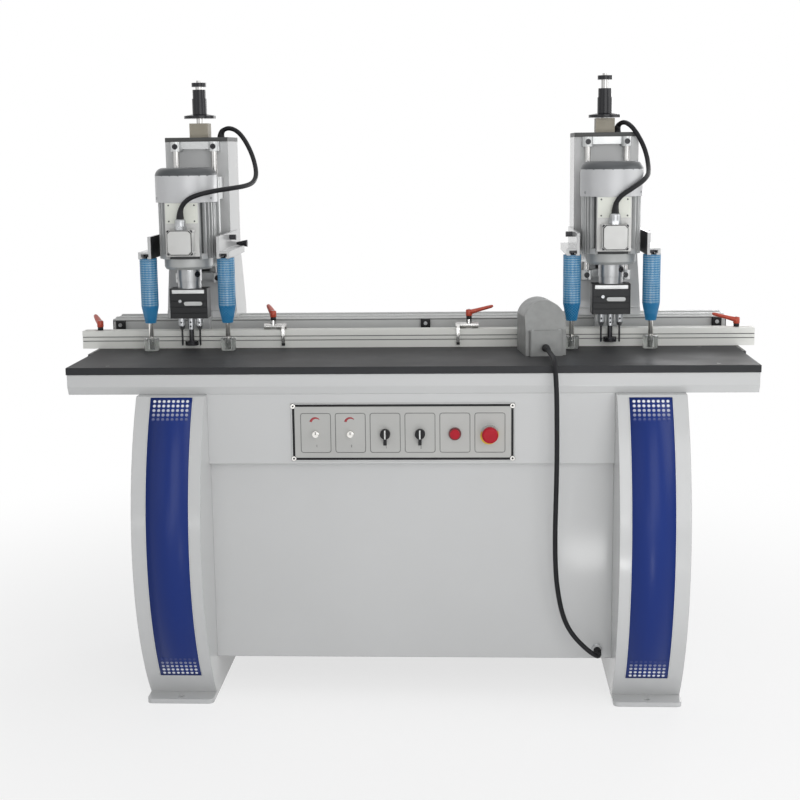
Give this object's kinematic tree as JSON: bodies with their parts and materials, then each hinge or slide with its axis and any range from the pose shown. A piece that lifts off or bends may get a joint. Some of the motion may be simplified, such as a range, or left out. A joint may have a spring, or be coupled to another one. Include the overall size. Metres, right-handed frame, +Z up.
{
  "type": "hinge boring machine",
  "caption": "Floor-standing hinge boring machine: cabinet with table, sliding fence with flip stops, and motor drilling heads with hold-down clamps on a rear beam.",
  "frame": {"origin": "on the floor, midway between the four anchor holes in the foot plates", "axes": "+X to the operator's right along the table, +Y away from the operator, +Z up"},
  "size_m": [1.8, 0.7941, 1.572],
  "materials": {
    "body_paint": "gloss enamel",
    "table_board": "dark laminate",
    "bare_aluminium": "anodised satin",
    "bright_steel": "ground",
    "chrome_rod": "hard chrome",
    "black_steel": "blackened",
    "motor_alloy": "silver paint",
    "dark_alloy": "black anodised",
    "panel_plate": "printed film",
    "black_plastic": "moulded",
    "red_plastic": "moulded",
    "blue_sleeve": "barrel in a blue net sleeve",
    "clear_foot": "clear moulded",
    "cable_rubber": "matt",
    "switch_grey": "hammer grey"
  },
  "bodies": {
    "stand": {"left_leg": "body_paint", "right_leg": "body_paint", "front_panel": "body_paint", "rear_panel": "body_paint", "table_apron": "body_paint", "table_top": "table_board", "fence_guide_bars": "black_steel", "rear_beam": "body_paint", "beam_rails": "bright_steel", "limit_blocks": "black_plastic", "control_plate": "panel_plate", "pedal_housing": "switch_grey", "pedal_cord": "cable_rubber"},
    "estop_button": {"estop_button": "red_plastic"},
    "selector_1": {"selector_1": "black_plastic"},
    "selector_2": {"selector_2": "black_plastic"},
    "speed_knob_1": {"speed_knob_1": "chrome_rod"},
    "speed_knob_2": {"speed_knob_2": "chrome_rod"},
    "pedal_treadle": {"pedal_treadle": "black_plastic"},
    "fence": {"fence": "bare_aluminium"},
    "left_fence_lever": {"left_fence_lever": "red_plastic"},
    "right_fence_lever": {"right_fence_lever": "red_plastic"},
    "stop_1_carrier": {"stop_1_carrier": "bright_steel"},
    "stop_1_finger": {"stop_1_finger": "bright_steel"},
    "stop_1_lever": {"stop_1_lever": "red_plastic"},
    "stop_2_carrier": {"stop_2_carrier": "bright_steel"},
    "stop_2_finger": {"stop_2_finger": "bright_steel"},
    "stop_2_lever": {"stop_2_lever": "red_plastic"},
    "left_head": {"left_column": "body_paint", "left_guide_rods": "chrome_rod", "left_feed_cylinder": "bare_aluminium", "left_clamp_arms": "body_paint", "left_clamp_cylinders": "blue_sleeve", "left_motor_cable": "cable_rubber"},
    "left_feed": {"left_carriage": "bare_aluminium", "left_feed_rod": "chrome_rod", "left_motor_housing": "motor_alloy", "left_fan_cover": "motor_alloy", "left_gearbox": "dark_alloy"},
    "left_centre_spindle": {"left_centre_spindle": "bright_steel"},
    "left_side_spindle_left": {"left_side_spindle_left": "bright_steel"},
    "left_side_spindle_right": {"left_side_spindle_right": "bright_steel"},
    "left_depth_stop": {"left_depth_stop": "black_steel"},
    "left_clamp_rods": {"left_clamp_rods": "chrome_rod"},
    "right_head": {"right_column": "body_paint", "right_guide_rods": "chrome_rod", "right_feed_cylinder": "bare_aluminium", "right_clamp_arms": "body_paint", "right_clamp_cylinders": "blue_sleeve", "right_motor_cable": "cable_rubber"},
    "right_feed": {"right_carriage": "bare_aluminium", "right_feed_rod": "chrome_rod", "right_motor_housing": "motor_alloy", "right_fan_cover": "motor_alloy", "right_gearbox": "dark_alloy"},
    "right_centre_spindle": {"right_centre_spindle": "bright_steel"},
    "right_side_spindle_left": {"right_side_spindle_left": "bright_steel"},
    "right_side_spindle_right": {"right_side_spindle_right": "bright_steel"},
    "right_depth_stop": {"right_depth_stop": "black_steel"},
    "right_clamp_rods": {"right_clamp_rods": "chrome_rod"}
  },
  "joints": [
    {"name": "estop_press", "type": "slide", "parent": "stand", "child": "estop_button", "axis": [0, 1, 0], "range_m": [0, 0.005], "stiffness_N_per_m": 600},
    {"name": "selector_1_turn", "type": "hinge", "parent": "stand", "child": "selector_1", "pos_m": [-0.0616, -0.289, 0.683], "axis": [0, 1, 0], "range_deg": [-60, 60]},
    {"name": "speed_knob_1_turn", "type": "hinge", "parent": "stand", "child": "speed_knob_1", "pos_m": [-0.2336, -0.289, 0.683], "axis": [0, 1, 0], "range_deg": [-150, 150]},
    {"name": "selector_2_turn", "type": "hinge", "parent": "stand", "child": "selector_2", "pos_m": [0.0244, -0.289, 0.683], "axis": [0, 1, 0], "range_deg": [-60, 60]},
    {"name": "speed_knob_2_turn", "type": "hinge", "parent": "stand", "child": "speed_knob_2", "pos_m": [-0.1476, -0.289, 0.683], "axis": [0, 1, 0], "range_deg": [-150, 150]},
    {"name": "treadle_press", "type": "hinge", "parent": "stand", "child": "pedal_treadle", "pos_m": [0.33483, -0.07689, 0.886], "axis": [-0.9925, -0.1219, 0], "range_deg": [0, 9], "stiffness_Nm_per_rad": 3, "springref_deg": -11.46},
    {"name": "fence_slide", "type": "slide", "parent": "stand", "child": "fence", "axis": [0, 1, 0], "range_m": [-0.002, 0.03]},
    {"name": "left_fence_lever_turn", "type": "hinge", "parent": "fence", "child": "left_fence_lever", "pos_m": [-0.855, 0.071, 0.9], "axis": [0, 0, 1], "range_deg": [-60, 60]},
    {"name": "right_fence_lever_turn", "type": "hinge", "parent": "fence", "child": "right_fence_lever", "pos_m": [0.855, 0.071, 0.9], "axis": [0, 0, 1], "range_deg": [-90, 90]},
    {"name": "stop_1_slide", "type": "slide", "parent": "fence", "child": "stop_1_carrier", "axis": [1, 0, 0], "range_m": [0, 0.1]},
    {"name": "stop_1_lever_turn", "type": "hinge", "parent": "stop_1_carrier", "child": "stop_1_lever", "pos_m": [-0.382, 0.071, 0.9243], "axis": [0, 0, 1], "range_deg": [-60, 60]},
    {"name": "stop_1_finger_flip", "type": "hinge", "parent": "stop_1_carrier", "child": "stop_1_finger", "pos_m": [-0.357, 0.071, 0.9083], "axis": [-1, 0, 0], "range_deg": [0, 100]},
    {"name": "stop_2_slide", "type": "slide", "parent": "fence", "child": "stop_2_carrier", "axis": [1, 0, 0], "range_m": [-0.1, 0]},
    {"name": "stop_2_lever_turn", "type": "hinge", "parent": "stop_2_carrier", "child": "stop_2_lever", "pos_m": [0.1455, 0.071, 0.9243], "axis": [0, 0, 1], "range_deg": [-60, 60]},
    {"name": "stop_2_finger_flip", "type": "hinge", "parent": "stop_2_carrier", "child": "stop_2_finger", "pos_m": [0.1205, 0.071, 0.9083], "axis": [-1, 0, 0], "range_deg": [0, 100]},
    {"name": "left_head_slide", "type": "slide", "parent": "stand", "child": "left_head", "axis": [1, 0, 0], "range_m": [-0.095, 0.05]},
    {"name": "left_feed_slide", "type": "slide", "parent": "left_head", "child": "left_feed", "axis": [0, 0, 1], "range_m": [-0.008, 0.05], "deforming": ["left_motor_cable"]},
    {"name": "left_centre_spin", "type": "hinge", "parent": "left_feed", "child": "left_centre_spindle", "pos_m": [-0.597, 0.028, 0.931], "axis": [0, 0, 1], "continuous": true},
    {"name": "left_side_spin_left", "type": "hinge", "parent": "left_feed", "child": "left_side_spindle_left", "pos_m": [-0.621, 0.022, 0.931], "axis": [0, 0, 1], "continuous": true},
    {"name": "left_side_spin_right", "type": "hinge", "parent": "left_feed", "child": "left_side_spindle_right", "pos_m": [-0.573, 0.022, 0.931], "axis": [0, 0, 1], "continuous": true},
    {"name": "left_depth_stop_set", "type": "slide", "parent": "left_feed", "child": "left_depth_stop", "axis": [0, 0, 1], "range_m": [-0.005, 0.007]},
    {"name": "left_clamp_press", "type": "slide", "parent": "left_head", "child": "left_clamp_rods", "axis": [0, 0, 1], "range_m": [0, 0.03]},
    {"name": "right_head_slide", "type": "slide", "parent": "stand", "child": "right_head", "axis": [1, 0, 0], "range_m": [-0.01, 0.12]},
    {"name": "right_feed_slide", "type": "slide", "parent": "right_head", "child": "right_feed", "axis": [0, 0, 1], "range_m": [-0.0015, 0.048], "deforming": ["right_motor_cable"]},
    {"name": "right_centre_spin", "type": "hinge", "parent": "right_feed", "child": "right_centre_spindle", "pos_m": [0.517, 0.028, 0.931], "axis": [0, 0, 1], "continuous": true},
    {"name": "right_side_spin_left", "type": "hinge", "parent": "right_feed", "child": "right_side_spindle_left", "pos_m": [0.493, 0.022, 0.931], "axis": [0, 0, 1], "continuous": true},
    {"name": "right_side_spin_right", "type": "hinge", "parent": "right_feed", "child": "right_side_spindle_right", "pos_m": [0.541, 0.022, 0.931], "axis": [0, 0, 1], "continuous": true},
    {"name": "right_depth_stop_set", "type": "slide", "parent": "right_feed", "child": "right_depth_stop", "axis": [0, 0, 1], "range_m": [0, 0.022]},
    {"name": "right_clamp_press", "type": "slide", "parent": "right_head", "child": "right_clamp_rods", "axis": [0, 0, 1], "range_m": [0, 0.03]}
  ],
  "couplings": [
    {"joint": "left_side_spin_left", "follows": "left_centre_spin", "ratio": -1},
    {"joint": "left_side_spin_right", "follows": "left_centre_spin", "ratio": -1},
    {"joint": "right_side_spin_left", "follows": "right_centre_spin", "ratio": -1},
    {"joint": "right_side_spin_right", "follows": "right_centre_spin", "ratio": -1}
  ]
}
